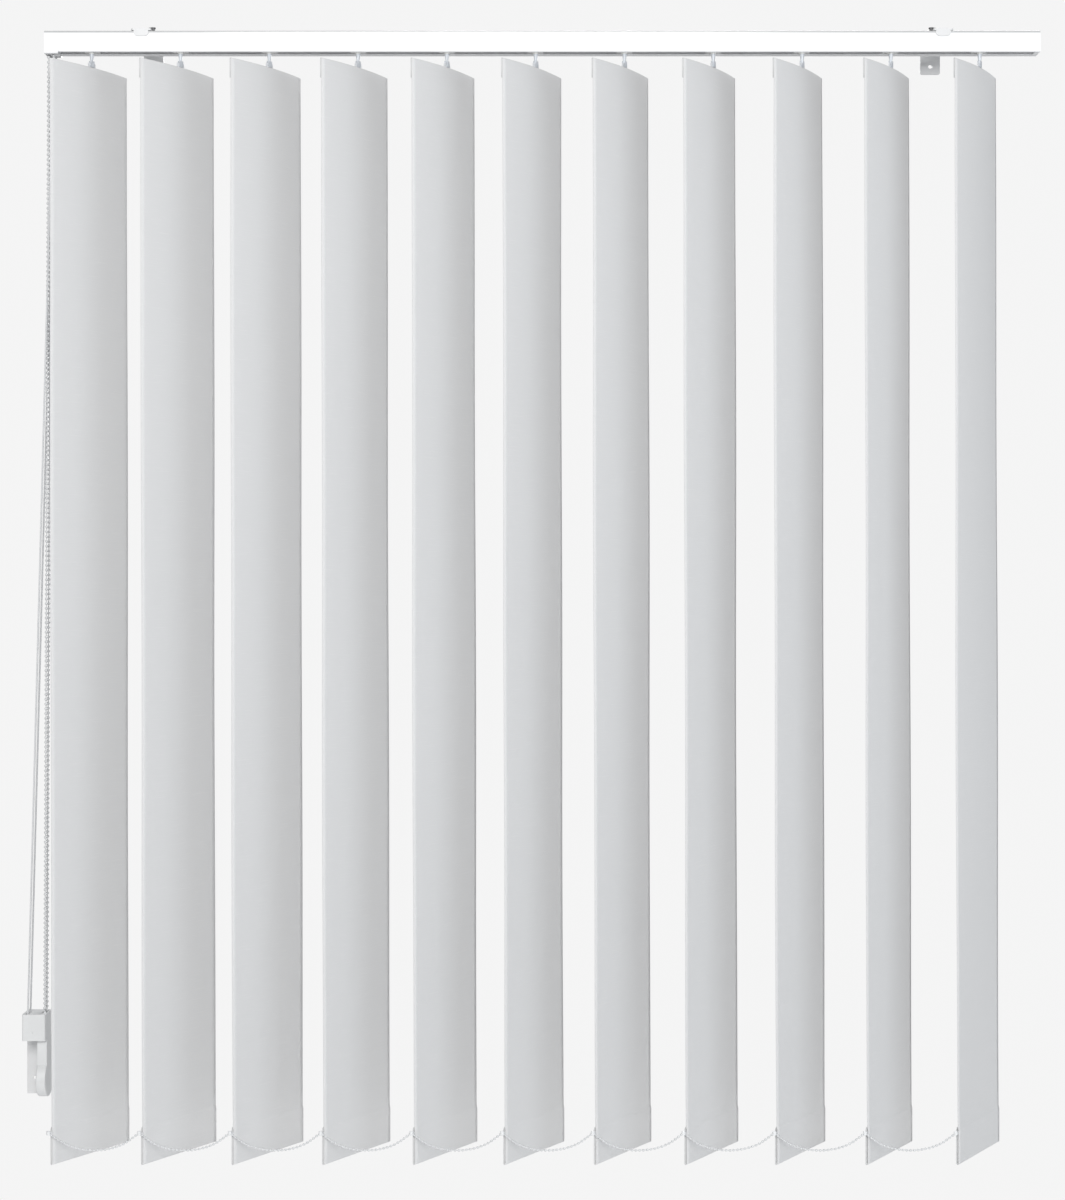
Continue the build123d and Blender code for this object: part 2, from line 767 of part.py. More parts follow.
def bead_chain():
    """The thread of the bead chain: a loop over the sprocket and round the tensioner's boss."""
    run = chain_run()
    half = across(run) * chain_radius
    top = Vector(chain_plane_x(), rod_y, rod_z)
    low = Vector(tension_chain_x, tension_y, disc_centre_z)
    middle = (top + low) / 2 - half
    path = Wire(
        [
            Line(middle, low - half),
            ThreePointArc(low - half, low + run * chain_radius, low + half),
            Line(low + half, top + half),
            ThreePointArc(top + half, top - run * chain_radius, top - half),
            Line(top - half, middle - run),
        ]
    )
    return tube(path, thread_radius)


def tensioner_housing():
    """The squared head and round shell that hold the bottoms of the cord and the chain."""
    head_low = tension_top_z - head_height
    above = tension_top_z + 1
    chamber = chain_radius + bead_radius + cord_gap
    pocket = cord_offset_y + cord_radius + cord_gap
    chain_lean = chain_run().Y / chain_run().Z * (above - disc_centre_z)
    cord_lean = cord_run(0).Y / cord_run(0).Z * (above - cord_post_z())
    chain_y = [tension_y - chamber + chain_lean, tension_y + chamber]
    pocket_y = [tension_cord_y - pocket + cord_lean, tension_cord_y + pocket]
    head_y = [pocket_y[0] - head_wall, chain_y[1] + head_wall]
    head = span([tension_left_x, tension_right_x()], head_y, [head_low, tension_top_z])
    head = fillet(head.edges().filter_by(Axis.Z), 2.0)
    shell_x = [disc_left_x(), tension_right_x()]
    neck_y = [tension_y - neck_depth / 2, tension_y + neck_depth / 2]
    shell = bar_x(shell_x, tension_y, disc_centre_z, disc_radius)
    shell = fillet(shell.edges(), 1.5)
    shell += span(shell_x, neck_y, [disc_centre_z, head_low + 1])
    body = head + shell
    half = bead_radius + cord_gap
    chain_x = [tension_chain_x - half, tension_right_x() - tension_wall]
    body -= span(chain_x, chain_y, [disc_centre_z, above])
    body -= bar_x(chain_x, tension_y, disc_centre_z, chamber)
    body += bar_x(chain_x, tension_y, disc_centre_z, chain_radius - bead_radius - loose_gap)
    half = cord_radius + 2 * cord_gap
    cord_x = [tension_cord_x - half, tension_cord_x + half]
    body -= span(cord_x, pocket_y, [cord_post_z(), above])
    body -= bar_x(cord_x, tension_cord_y, cord_post_z(), pocket)
    post_radius = cord_offset_y - cord_radius - slide_gap
    body += bar_x(cord_x, tension_cord_y, cord_post_z(), post_radius)
    screw_x = (tension_left_x + tension_right_x()) / 2
    screw_z = tension_top_z - head_height * 0.68
    body -= bar_y(
        screw_x, [head_y[0] - 1, head_y[0] + cover_screw_depth], screw_z, cover_screw_radius
    )
    for y, z in tension_rivet_places():
        body -= bar_x([shell_x[0] - 1, shell_x[1] + 1], y, z, rivet_radius)
    return body


def tensioner_bracket():
    """The steel angle from the wall to the tensioner's shell."""
    web_x = [disc_left_x() - tension_plate, disc_left_x()]
    flange_x = [web_x[1] - flange_width, web_x[1]]
    flange_z = [flange_bottom_z, flange_bottom_z + flange_height]
    bracket = span(flange_x, [-tension_plate, 0], flange_z)
    web_z = [disc_centre_z - disc_radius / 2, disc_centre_z + disc_radius / 2]
    bracket += span(web_x, [tension_y, 0], web_z)
    hole_x = (flange_x[0] + web_x[0]) / 2
    middle_z = (flange_z[0] + flange_z[1]) / 2
    for side in (-1, 1):
        z = middle_z + side * tension_hole_spacing / 2
        bracket -= bar_y(hole_x, [-tension_plate - 1, 1], z, tension_hole_radius)
    for y, z in tension_rivet_places():
        bracket -= bar_x([web_x[0] - 1, web_x[1] + 1], y, z, rivet_radius)
    return bracket


nodes = {
    "headrail": headrail(),
    "control_end_cap": control_end_cap(),
    "idler_end_cap": idler_end_cap(),
    "idler_pulley": idler_pulley(),
    "wall_bracket_left": wall_bracket(-bracket_x),
    "wall_bracket_right": wall_bracket(bracket_x),
    "bracket_lever_left": bracket_lever(-bracket_x, 1),
    "bracket_lever_right": bracket_lever(bracket_x, -1),
    "rivets": rivets(),
    "tilt_rod": tilt_rod(),
    "chain_sprocket": chain_sprocket(),
    "draw_cord": draw_cord(),
    "bead_chain": bead_chain(),
    "bottom_chain": bottom_chain(),
    "tensioner_housing": tensioner_housing(),
    "tensioner_bracket": tensioner_bracket(),
}
for number in range(1, vane_count + 1):
    nodes[f"carrier_{number:02d}"] = carrier(number)
    nodes[f"worm_{number:02d}"] = worm(number)
    nodes[f"hook_{number:02d}"] = hook(number)
    nodes[f"vane_{number:02d}"] = vane(number)

for name, shape in nodes.items():
    if isinstance(shape, list):
        shape = Compound(children=shape)
    export_step(shape, f"parts/{name}.step")
    print(name, round(shape.volume, 1))

print("cord bends", cord_turn_radius, cord_offset_y, "chain bends", chain_radius)
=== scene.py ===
import json
import math
import random

import bpy
from mathutils import Matrix, Vector


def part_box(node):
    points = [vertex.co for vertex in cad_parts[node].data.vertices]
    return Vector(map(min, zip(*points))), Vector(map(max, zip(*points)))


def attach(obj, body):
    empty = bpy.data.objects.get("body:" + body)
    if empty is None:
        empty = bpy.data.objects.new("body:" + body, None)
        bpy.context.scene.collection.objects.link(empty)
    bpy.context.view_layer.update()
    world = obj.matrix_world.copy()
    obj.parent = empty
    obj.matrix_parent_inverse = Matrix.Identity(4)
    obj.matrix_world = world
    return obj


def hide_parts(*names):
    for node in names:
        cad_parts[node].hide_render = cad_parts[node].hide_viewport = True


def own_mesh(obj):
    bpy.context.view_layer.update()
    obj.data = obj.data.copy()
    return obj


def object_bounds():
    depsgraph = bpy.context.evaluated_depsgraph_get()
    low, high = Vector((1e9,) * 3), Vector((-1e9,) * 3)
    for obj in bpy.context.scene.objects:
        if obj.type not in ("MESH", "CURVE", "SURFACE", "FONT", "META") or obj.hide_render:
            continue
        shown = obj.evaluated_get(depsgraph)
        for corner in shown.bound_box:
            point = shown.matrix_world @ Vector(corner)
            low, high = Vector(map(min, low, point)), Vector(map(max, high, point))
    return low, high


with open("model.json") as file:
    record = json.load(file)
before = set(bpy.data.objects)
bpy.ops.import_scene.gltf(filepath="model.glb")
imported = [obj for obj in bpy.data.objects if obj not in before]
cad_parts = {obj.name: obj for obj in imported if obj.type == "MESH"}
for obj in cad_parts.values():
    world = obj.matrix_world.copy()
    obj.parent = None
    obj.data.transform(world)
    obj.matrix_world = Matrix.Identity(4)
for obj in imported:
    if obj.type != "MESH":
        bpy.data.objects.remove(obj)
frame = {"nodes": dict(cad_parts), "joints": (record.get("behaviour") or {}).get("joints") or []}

cadLow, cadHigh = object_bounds()
scene = bpy.context.scene
print("frame loaded")


def middle(node):
    low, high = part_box(node)
    return (low + high) / 2


def jointPoint(name):
    joint = next(j for j in frame["joints"] if j["name"] == name)
    return Vector(joint["pos_m"])


vaneCount = sum(name.startswith("vane_") for name in frame["nodes"])
railLow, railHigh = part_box("headrail")
railCentreY = (railLow.y + railHigh.y) / 2
pulleyPoint = jointPoint("idler_pulley_spin")


class Val:
    def __init__(self, mat, socket):
        self.mat = mat
        self.socket = socket

    def maths(self, operation, *others):
        return self.mat.node("ShaderNodeMath", {"operation": operation}, [self, *others])

    def __add__(self, other):
        return self.maths("ADD", other)

    def __radd__(self, other):
        return self.maths("ADD", other)

    def __sub__(self, other):
        return self.maths("SUBTRACT", other)

    def __rsub__(self, other):
        return self.mat.node("ShaderNodeMath", {"operation": "SUBTRACT"}, [other, self])

    def __mul__(self, other):
        return self.maths("MULTIPLY", other)

    def __rmul__(self, other):
        return self.maths("MULTIPLY", other)

    def __truediv__(self, other):
        return self.maths("DIVIDE", other)

    def __pow__(self, other):
        return self.maths("POWER", other)

    def sine(self):
        return self.maths("SINE")

    def absolute(self):
        return self.maths("ABSOLUTE")

    def clamped(self):
        return self.maths("MAXIMUM", 0.0).maths("MINIMUM", 1.0)


class Mat:
    def __init__(self, name, color, roughness, **sockets):
        self.material = bpy.data.materials.new(name)
        self.material.use_nodes = True
        self.tree = self.material.node_tree
        self.shader = self.tree.nodes["Principled BSDF"]
        self.shader.inputs["Base Color"].default_value = (*color, 1)
        self.shader.inputs["Roughness"].default_value = roughness
        for label, value in sockets.items():
            self.shader.inputs[label.replace("_", " ")].default_value = value

    def node(self, kind, settings=None, inputs=None, output=0):
        made = self.tree.nodes.new(kind)
        for key, value in (settings or {}).items():
            if key == "stops":
                ramp = made.color_ramp
                while len(ramp.elements) < len(value):
                    ramp.elements.new(0.5)
                for element, (place, shade) in zip(ramp.elements, value):
                    element.position = place
                    element.color = shade
            else:
                setattr(made, key, value)
        pairs = inputs.items() if isinstance(inputs, dict) else enumerate(inputs or [])
        for key, value in pairs:
            if isinstance(value, Val):
                self.tree.links.new(value.socket, made.inputs[key])
            else:
                made.inputs[key].default_value = value
        return Val(self, made.outputs[output])

    def coords(self, scale=(1, 1, 1), source="Object"):
        if source == "UV":
            place = self.node("ShaderNodeUVMap", {"uv_map": "weave"})
        else:
            place = self.node("ShaderNodeTexCoord", output=source)
        return self.node("ShaderNodeMapping", inputs={"Vector": place, "Scale": scale})

    def noise(self, place, scale, detail=3.0, rough=0.5):
        inputs = {"Vector": place, "Scale": scale, "Detail": detail, "Roughness": rough}
        return self.node("ShaderNodeTexNoise", inputs=inputs)

    def parts(self, place):
        made = self.node("ShaderNodeSeparateXYZ", inputs=[place])
        return [Val(self, output) for output in made.socket.node.outputs]

    def mix(self, factor, first, second):
        inputs = {"Factor": factor, "A": first, "B": second}
        made = self.tree.nodes.new("ShaderNodeMix")
        made.data_type = "RGBA"
        for key, value in inputs.items():
            found = [s for s in made.inputs if s.name == key and s.enabled]
            if isinstance(value, Val):
                self.tree.links.new(value.socket, found[0])
            elif key == "Factor":
                found[0].default_value = value
            else:
                found[0].default_value = (*value, 1)
        outputs = [s for s in made.outputs if s.enabled]
        return Val(self, outputs[0])

    def bump(self, height, strength, distance):
        inputs = {"Height": height, "Strength": strength, "Distance": distance}
        normal = self.node("ShaderNodeBump", inputs=inputs)
        self.feed("Normal", normal)

    def feed(self, label, value):
        self.tree.links.new(value.socket, self.shader.inputs[label])


def enamel(name, coat):
    look = {
        "white": (0.86, 0.865, 0.87),
        "shade": (0.82, 0.825, 0.83),
        # dark colour of a thin band under the top edge: painted shade standing in for the shadow
        # line under the rail's top lip
        "groove": (0.34, 0.345, 0.35),
        "grooveDown": 0.0017,  # below the rail's top
        "grooveHalf": 0.0015,
    }
    m = Mat(name, look["white"], 0.22, Coat_Weight=coat, Coat_Roughness=0.12)
    place = m.coords()
    height = m.parts(place)[2]
    away = (height - (railHigh.z - look["grooveDown"])).absolute()
    groove = (1 - away / look["grooveHalf"]).clamped()
    clouds = m.noise(place, 18.0, detail=2.0)
    plain = m.mix(clouds, look["white"], look["shade"])
    # painted shade: the band just under the top edge is coloured dark for the lip's shadow line,
    # and the bump below also dents a groove there
    m.feed("Base Color", m.mix(groove, plain, look["groove"]))
    m.feed("Roughness", 0.18 + 0.12 * m.noise(place, 60.0))
    peel = 0.04 * m.noise(place, 900.0, detail=2.0)
    m.bump(peel - groove, strength=0.3, distance=0.0004)
    return m.material


def moulded(name, color, roughness, grain=0.06, wear=0.06):
    m = Mat(name, color, roughness)
    place = m.coords()
    dark = tuple(c * (1 - wear) for c in color)
    m.feed("Base Color", m.mix(m.noise(place, 45.0, detail=4.0), color, dark))
    m.feed("Roughness", (roughness - 0.05) + 0.12 * m.noise(place, 140.0))
    m.bump(m.noise(place, 2200.0), strength=grain, distance=0.0002)
    return m.material


def clearPlastic(name, color, roughness):
    m = Mat(name, color, roughness, Transmission_Weight=0.25, IOR=1.46)
    place = m.coords()
    pale = tuple(min(1, c * 1.05) for c in color)
    m.feed("Base Color", m.mix(m.noise(place, 80.0), color, pale))
    m.feed("Roughness", roughness + 0.1 * m.noise(place, 240.0))
    m.bump(m.noise(place, 1500.0, detail=2.0), strength=0.05, distance=0.0002)
    return m.material


def metal(name, color, roughness, stretch):
    m = Mat(name, color, roughness, Metallic=1.0)
    streaks = m.noise(m.coords(scale=stretch), 400.0, detail=4.0)
    dark = tuple(c * 0.88 for c in color)
    m.feed("Base Color", m.mix(streaks, color, dark))
    m.feed("Roughness", (roughness - 0.06) + 0.16 * streaks)
    m.bump(streaks, strength=0.06, distance=0.0002)
    return m.material


def vaneCloth():
    look = {
        "warp": 2600.0,  # threads a metre, counted across the vane
        "weft": 2100.0,  # and down it
        "pale": (0.66, 0.663, 0.667),
        "deep": (0.59, 0.594, 0.60),
        "slub": (0.71, 0.71, 0.71),
    }
    m = Mat("vaneCloth", look["pale"], 0.82, Sheen_Weight=0.25, Sheen_Roughness=0.5)
    across, down = m.parts(m.coords(source="UV"))[:2]
    warp = (across * (math.pi * look["warp"])).sine().absolute()
    weft = (down * (math.pi * look["weft"])).sine().absolute()
    thread = warp * 0.5 + weft * 0.5
    slubs = m.noise(m.coords(scale=(30.0, 900.0, 1.0), source="UV"), 1.0, rough=0.6)
    clouds = m.noise(m.coords(scale=(9.0, 4.0, 1.0), source="UV"), 1.0)
    body = m.mix(thread, look["deep"], look["pale"])
    slubMask = m.node(
        "ShaderNodeValToRGB",
        {"stops": [(0.55, (0, 0, 0, 1)), (0.75, (1, 1, 1, 1))]},
        [slubs],
    )
    body = m.mix(slubMask * 0.45, body, look["slub"])
    m.feed("Base Color", m.mix(clouds * 0.12, body, look["deep"]))
    m.feed("Roughness", 0.76 + 0.14 * thread)
    m.bump(thread + slubs * 0.6, strength=0.35, distance=0.0002)
    return m.material


def braid():
    look = {"pale": (0.80, 0.81, 0.82), "deep": (0.52, 0.53, 0.55), "plaits": 8.0, "lay": 1400.0}
    m = Mat("braidedCord", look["pale"], 0.7, Sheen_Weight=0.2)
    around, down = m.parts(m.coords(source="UV"))[:2]
    turn = around * (math.pi * look["plaits"])
    climb = down * look["lay"]
    plait = ((turn + climb).sine() * (turn - climb).sine()).absolute()
    m.feed("Base Color", m.mix(plait ** 0.5, look["deep"], look["pale"]))
    m.feed("Roughness", 0.62 + 0.2 * plait)
    m.bump(plait, strength=0.6, distance=0.0003)
    return m.material


def stageMaterial(name, color, glow):
    m = Mat(name, color, 0.9, Emission_Color=(1, 1, 1, 1), Emission_Strength=glow)
    clouds = m.noise(m.coords(), 1.5, detail=2.0)
    m.feed("Base Color", m.mix(clouds, color, tuple(c * 0.99 for c in color)))
    return m.material


railWhite = enamel("railEnamel", 0.35)
capWhite = enamel("capPlastic", 0.1)
tensionerWhite = moulded("tensionerPlastic", (0.70, 0.71, 0.715), 0.34)
leverGrey = moulded("leverPlastic", (0.13, 0.13, 0.135), 0.42)
sprocketGrey = moulded("sprocketPlastic", (0.22, 0.22, 0.23), 0.4)
carrierWhite = moulded("carrierAcetal", (0.80, 0.80, 0.78), 0.36)
wormWhite = moulded("wormAcetal", (0.70, 0.71, 0.72), 0.3)
beadWhite = moulded("beadPlastic", (0.64, 0.65, 0.66), 0.26, grain=0.02)
weightWhite = moulded("weightPlastic", (0.74, 0.75, 0.76), 0.45)
hangerClear = clearPlastic("hangerPlastic", (0.80, 0.82, 0.84), 0.3)
hookClear = clearPlastic("hookPlastic", (0.62, 0.65, 0.69), 0.25)
bracketSteel = moulded("bracketPaint", (0.66, 0.665, 0.67), 0.35)
rivetSteel = metal("rivetSteel", (0.58, 0.58, 0.6), 0.34, (1, 1, 1))
rodAluminium = metal("rodAluminium", (0.74, 0.75, 0.77), 0.32, (0.02, 1, 1))
clothLook = vaneCloth()
cordLook = braid()
print("materials made")


def paint(piece, material):
    piece.data.materials.clear()
    piece.data.materials.append(material)


def select(*pieces):
    bpy.ops.object.select_all(action="DESELECT")
    for piece in pieces:
        piece.select_set(True)
    bpy.context.view_layer.objects.active = pieces[0]


def finishPiece(piece, material, body):
    paint(piece, material)
    select(piece)
    bpy.ops.object.shade_smooth_by_angle(angle=math.radians(35))
    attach(piece, body)


def apply(piece, kind, **settings):
    select(piece)
    modifier = piece.modifiers.new(kind, kind)
    for key, value in settings.items():
        setattr(modifier, key, value)
    bpy.ops.object.modifier_apply(modifier=modifier.name)


def named(name):
    piece = bpy.context.object
    piece.name = piece.data.name = name
    bpy.ops.object.transform_apply(location=True, rotation=True, scale=True)
    return piece


def plate(name, low, high):
    bpy.ops.object.select_all(action="DESELECT")
    centre = [(a + b) / 2 for a, b in zip(low, high)]
    sides = [b - a for a, b in zip(low, high)]
    bpy.ops.mesh.primitive_cube_add(size=1, location=centre, scale=sides)
    return named(name)


def rod(name, centre, radius, length, axis, sides):
    turns = {"Y": (math.pi / 2, 0, 0), "Z": (0, 0, 0)}
    bpy.ops.object.select_all(action="DESELECT")
    bpy.ops.mesh.primitive_cylinder_add(
        vertices=sides, radius=radius, depth=length, location=centre, rotation=turns[axis]
    )
    return named(name)


facing = 0.9  # how squarely a chosen face looks along its axis


def ringsAt(piece, places, direction):
    # edges all round the piece at each place along the direction
    select(piece)
    bpy.ops.object.mode_set(mode="EDIT")
    for place in places:
        bpy.ops.mesh.select_all(action="SELECT")
        bpy.ops.mesh.bisect(plane_co=Vector(direction) * place, plane_no=direction)
    bpy.ops.object.mode_set(mode="OBJECT")


def pull(piece, chosen, move):
    # draws the chosen faces out of the piece
    select(piece)
    bpy.ops.object.mode_set(mode="EDIT")
    bpy.ops.mesh.select_mode(type="FACE")
    bpy.ops.mesh.select_all(action="DESELECT")
    bpy.ops.object.mode_set(mode="OBJECT")
    for face in piece.data.polygons:
        face.select = chosen(face)
    bpy.ops.object.mode_set(mode="EDIT")
    bpy.ops.mesh.extrude_region_move(TRANSFORM_OT_translate={"value": move})
    bpy.ops.object.mode_set(mode="OBJECT")


def combine(piece, other, operation):
    apply(piece, "BOOLEAN", operation=operation, object=other, solver="EXACT")
    bpy.data.objects.remove(other)


def copyPiece(piece, name, move):
    twin = piece.copy()
    twin.data = piece.data.copy()
    twin.name = twin.data.name = name
    scene.collection.objects.link(twin)
    twin.data.transform(move)
    return twin


def newMesh(name, points, faces, uvs):
    mesh = bpy.data.meshes.new(name)
    mesh.from_pydata([tuple(p) for p in points], [], faces)
    layer = mesh.uv_layers.new(name="weave")
    for loop in mesh.loops:
        layer.data[loop.index].uv = uvs[loop.vertex_index]
    mesh.validate()
    mesh.update()
    piece = bpy.data.objects.new(name, mesh)
    scene.collection.objects.link(piece)
    return piece


camera = {
    "lens": 61.5,
    "away": 2.540,  # from the vanes' pivots
    "below": 0.650,  # under the rail's underside
    "left": 0.012,
    "shift": -0.0183,
    "sensor": 36.0,
    "sight": 50.0,
}


def makeCamera():
    data = bpy.data.cameras.new("view")
    data.lens = camera["lens"]
    data.sensor_width = camera["sensor"]
    data.shift_y = camera["shift"]
    data.clip_end = camera["sight"]
    eye = bpy.data.objects.new("view", data)
    pivotY = jointPoint("vane_01_turn").y
    eye.location = (-camera["left"], pivotY - camera["away"], railLow.z - camera["below"])
    eye.rotation_euler = (math.pi / 2, 0, 0)
    scene.collection.objects.link(eye)
    scene.camera = eye


stage = {
    "floorDrop": 1.3,  # below the vanes
    "near": 5.0,
    "far": 3.0,
    "thick": 0.02,
    "round": 0.006,
    "color": (0.90, 0.90, 0.90),
    "glow": 0.08,
}


def makeStage():
    near, far, top = stage["near"], stage["far"], cadLow.z - stage["floorDrop"]
    floor = plate("studioFloor", (-near, -near, top - stage["thick"]), (near, far, top))
    apply(floor, "BEVEL", width=stage["round"], segments=3)
    paint(floor, stageMaterial("studioPaper", stage["color"], stage["glow"]))


lights = {
    "key": {"at": (-0.15, -3.9, 0.45), "size": 1.6, "power": 128, "color": (1.0, 0.995, 0.985)},
    "fill": {"at": (2.4, -2.0, -0.6), "size": 1.8, "power": 16, "color": (0.86, 0.93, 1.0)},
    "back": {"at": (0.8, 3.2, 1.4), "size": 2.4, "power": 110, "color": (1.0, 1.0, 1.0)},
}
sky = {"color": (0.97, 0.98, 1.0), "light": 0.34, "seen": 0.91}


def makeLights():
    aim = Vector((0, 0, (cadLow.z + cadHigh.z) / 2))
    for name, light in lights.items():
        data = bpy.data.lights.new(name, "AREA")
        data.shape = "SQUARE"
        data.size = light["size"]
        data.energy = light["power"]
        data.color = light["color"]
        lamp = bpy.data.objects.new(name, data)
        lamp.location = light["at"]
        lamp.rotation_euler = (aim - lamp.location).to_track_quat("-Z", "Y").to_euler()
        scene.collection.objects.link(lamp)
    world = bpy.data.worlds.new("studio")
    world.use_nodes = True
    nodes, links = world.node_tree.nodes, world.node_tree.links
    lit = nodes["Background"]
    lit.inputs["Color"].default_value = (*sky["color"], 1)
    lit.inputs["Strength"].default_value = sky["light"]
    seen = nodes.new("ShaderNodeBackground")  # the pale paper behind the blind
    seen.inputs["Color"].default_value = (1, 1, 1, 1)
    seen.inputs["Strength"].default_value = sky["seen"]
    choice = nodes.new("ShaderNodeMixShader")
    links.new(nodes.new("ShaderNodeLightPath").outputs["Is Camera Ray"], choice.inputs[0])
    links.new(lit.outputs[0], choice.inputs[1])
    links.new(seen.outputs[0], choice.inputs[2])
    links.new(choice.outputs[0], nodes["World Output"].inputs["Surface"])
    scene.world = world
    scene.view_settings.view_transform = "Standard"
    scene.view_settings.look = "None"


makeCamera()
makeStage()
makeLights()
print("camera, floor and light made")


routeDetail = {"resolution": 16, "same": 1e-5, "bend": 0.004}
beadDetail = {"segments": 8, "rings": 6}
loopHold = 0.03  # straight length at each end of a hanging loop


def hangingLoop(top, low, half, drop):
    # down the front, round the low end and up the back, from a little under the top
    down = (low - top).normalized()
    side = (Vector((0, 1, 0)) - down * down.y).normalized() * half
    start = top + down * drop
    front = [start, start + down * loopHold, low - down * (half + loopHold)]
    front += [low - down * half, low + down * half]
    return [p - side for p in front] + [p + side for p in reversed(front)]


def spline(points):
    data = bpy.data.curves.new("route", "CURVE")
    data.dimensions = "3D"
    data.resolution_u = routeDetail["resolution"]
    line = data.splines.new("NURBS")
    line.points.add(len(points) - 1)
    for target, point in zip(line.points, points):
        target.co = (*point, 1)
    line.order_u = 3
    line.use_endpoint_u = True
    holder = bpy.data.objects.new("route", data)
    scene.collection.objects.link(holder)
    mesh = bpy.data.meshes.new_from_object(holder)
    found = []
    for vert in mesh.vertices:
        if not found or (vert.co - found[-1]).length > routeDetail["same"]:
            found.append(vert.co.copy())
    bpy.data.meshes.remove(mesh)
    bpy.data.objects.remove(holder)
    bpy.data.curves.remove(data)
    return found


def thinned(points, step):
    # keeps the points where the route bends, and one a step where it is straight
    kept = [points[0]]
    for before, point, after in zip(points, points[1:], points[2:]):
        bend = (point - before).angle(after - point, 0)
        if bend > routeDetail["bend"] or (point - kept[-1]).length > step:
            kept.append(point)
    kept.append(points[-1])
    return kept


def tubeMesh(name, path, radius, sides):
    points, faces, uvs = [], [], []
    normal = (path[1] - path[0]).orthogonal().normalized()
    gone = 0.0
    for i, point in enumerate(path):
        ahead = path[min(i + 1, len(path) - 1)] - path[max(i - 1, 0)]
        ahead.normalize()
        normal = (normal - ahead * normal.dot(ahead)).normalized()
        other = ahead.cross(normal)
        if i:
            gone += (point - path[i - 1]).length
        for k in range(sides):
            a = 2 * math.pi * k / sides
            points.append(point + radius * (math.cos(a) * normal + math.sin(a) * other))
            uvs.append((abs(2 * k / sides - 1), gone))
    for i in range(len(path) - 1):
        for k in range(sides):
            a, b = i * sides + k, i * sides + (k + 1) % sides
            faces.append((a, b, b + sides, a + sides))
    last = (len(path) - 1) * sides
    faces.append(tuple(reversed(range(sides))))
    faces.append(tuple(range(last, last + sides)))
    piece = newMesh(name, points, faces, uvs)
    piece.data.polygons.foreach_set("use_smooth", [True] * len(faces))
    return piece


def pathLength(path):
    return sum((b - a).length for a, b in zip(path, path[1:]))


def spaced(path, count, first):
    # evenly spaced places on the path, the end ones this far from its ends
    gaps = [(b - a).length for a, b in zip(path, path[1:])]
    total = sum(gaps)
    places = []
    i, gone = 0, 0.0
    for n in range(count):
        want = first + (total - 2 * first) * n / (count - 1)
        while i < len(gaps) - 1 and gone + gaps[i] < want:
            gone += gaps[i]
            i += 1
        places.append(path[i].lerp(path[i + 1], min(1, (want - gone) / gaps[i])))
    return places


def beads(name, places, radius):
    bpy.ops.object.select_all(action="DESELECT")
    bpy.ops.mesh.primitive_uv_sphere_add(
        segments=beadDetail["segments"], ring_count=beadDetail["rings"], radius=radius
    )
    bead = named(name)
    bpy.ops.object.shade_smooth()
    row = [copyPiece(bead, name, Matrix.Translation(place)) for place in places[1:]]
    bead.data.transform(Matrix.Translation(places[0]))
    select(bead, *row)
    bpy.ops.object.join()
    return bead


drawCord = {
    "radius": 0.0011,
    "sides": 12,
    "step": 0.08,
    "runSides": 8,
    "runStep": 0.1,
    "half": 0.007,  # between the loop's middle and each run
    "corner": (-0.6038, railCentreY, 0.008),
    "post": (-0.6455, -0.0375, -1.224),
    "drop": 0.012,  # the loop starts this far under the corner
    "turn": 0.02,
    "split": 0.0005,
}


def makeDrawCord():
    half, turn, split = drawCord["half"], drawCord["turn"], drawCord["split"]
    corner = Vector(drawCord["corner"])
    route = hangingLoop(corner, Vector(drawCord["post"]), half, drawCord["drop"])
    hanging = thinned(spline(route), drawCord["step"])
    loop = tubeMesh("drawCordLoop", hanging, drawCord["radius"], drawCord["sides"])
    paint(loop, cordLook)
    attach(loop, "rail")
    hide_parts("draw_cord")
    start, end = hanging[0], hanging[-1]
    round(pathLength(hanging), 3)
    leadX = middle("carrier_11").x
    front, back, z = corner.y - half, corner.y + half, corner.z
    near, far = pulleyPoint.x - half, pulleyPoint.x + half
    runs = {
        "drawCordFrontRun": [
            start, (corner.x, front, z), (corner.x + turn, front, z), (leadX - split, front, z),
        ],
        "drawCordBackRun": [
            (leadX + split, front, z), (near, front, z), (far, front, z), (far, back, z),
            (near, back, z), (corner.x + turn, back, z), (corner.x, back, z), end,
        ],
    }
    for name, route in runs.items():
        path = thinned(spline(route), drawCord["runStep"])
        run = tubeMesh(name, path, drawCord["radius"], drawCord["runSides"])
        paint(run, cordLook)
        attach(run, "rail")


beadChain = {
    "thread": 0.00065,
    "sides": 8,
    "bead": 0.0020,
    "pitch": 0.006,
    "step": 0.08,
    "overStep": 0.05,
    "half": 0.006,
    "top": (-0.6114, -0.070, 0.0005),
    "low": (-0.6271, -0.026, -1.2905),
}


def makeBeadChain():
    half = beadChain["half"]
    top, low = Vector(beadChain["top"]), Vector(beadChain["low"])
    hanging = thinned(spline(hangingLoop(top, low, half, half)), beadChain["step"])
    down = (low - top).normalized()
    side = (hanging[-1] - hanging[0]) / 2
    centre = (hanging[-1] + hanging[0]) / 2
    over = spline([
        hanging[-1], centre - down * 2 * half + side, centre - down * 2 * half - side, hanging[0],
    ])
    thread = tubeMesh("beadChainThread", hanging, beadChain["thread"], beadChain["sides"])
    over = thinned(over, beadChain["overStep"])
    overThread = tubeMesh("beadChainTopThread", over, beadChain["thread"], beadChain["sides"])
    whole = hanging + over[1:]
    count = round(pathLength(whole) / beadChain["pitch"])
    places = spaced(whole, count, beadChain["pitch"] / 2)
    strung = beads("beadChainBeads", places, beadChain["bead"])
    for piece in (thread, overThread, strung):
        paint(piece, beadWhite)
        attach(piece, "rail")
    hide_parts("bead_chain")
    round(pathLength(hanging), 3)


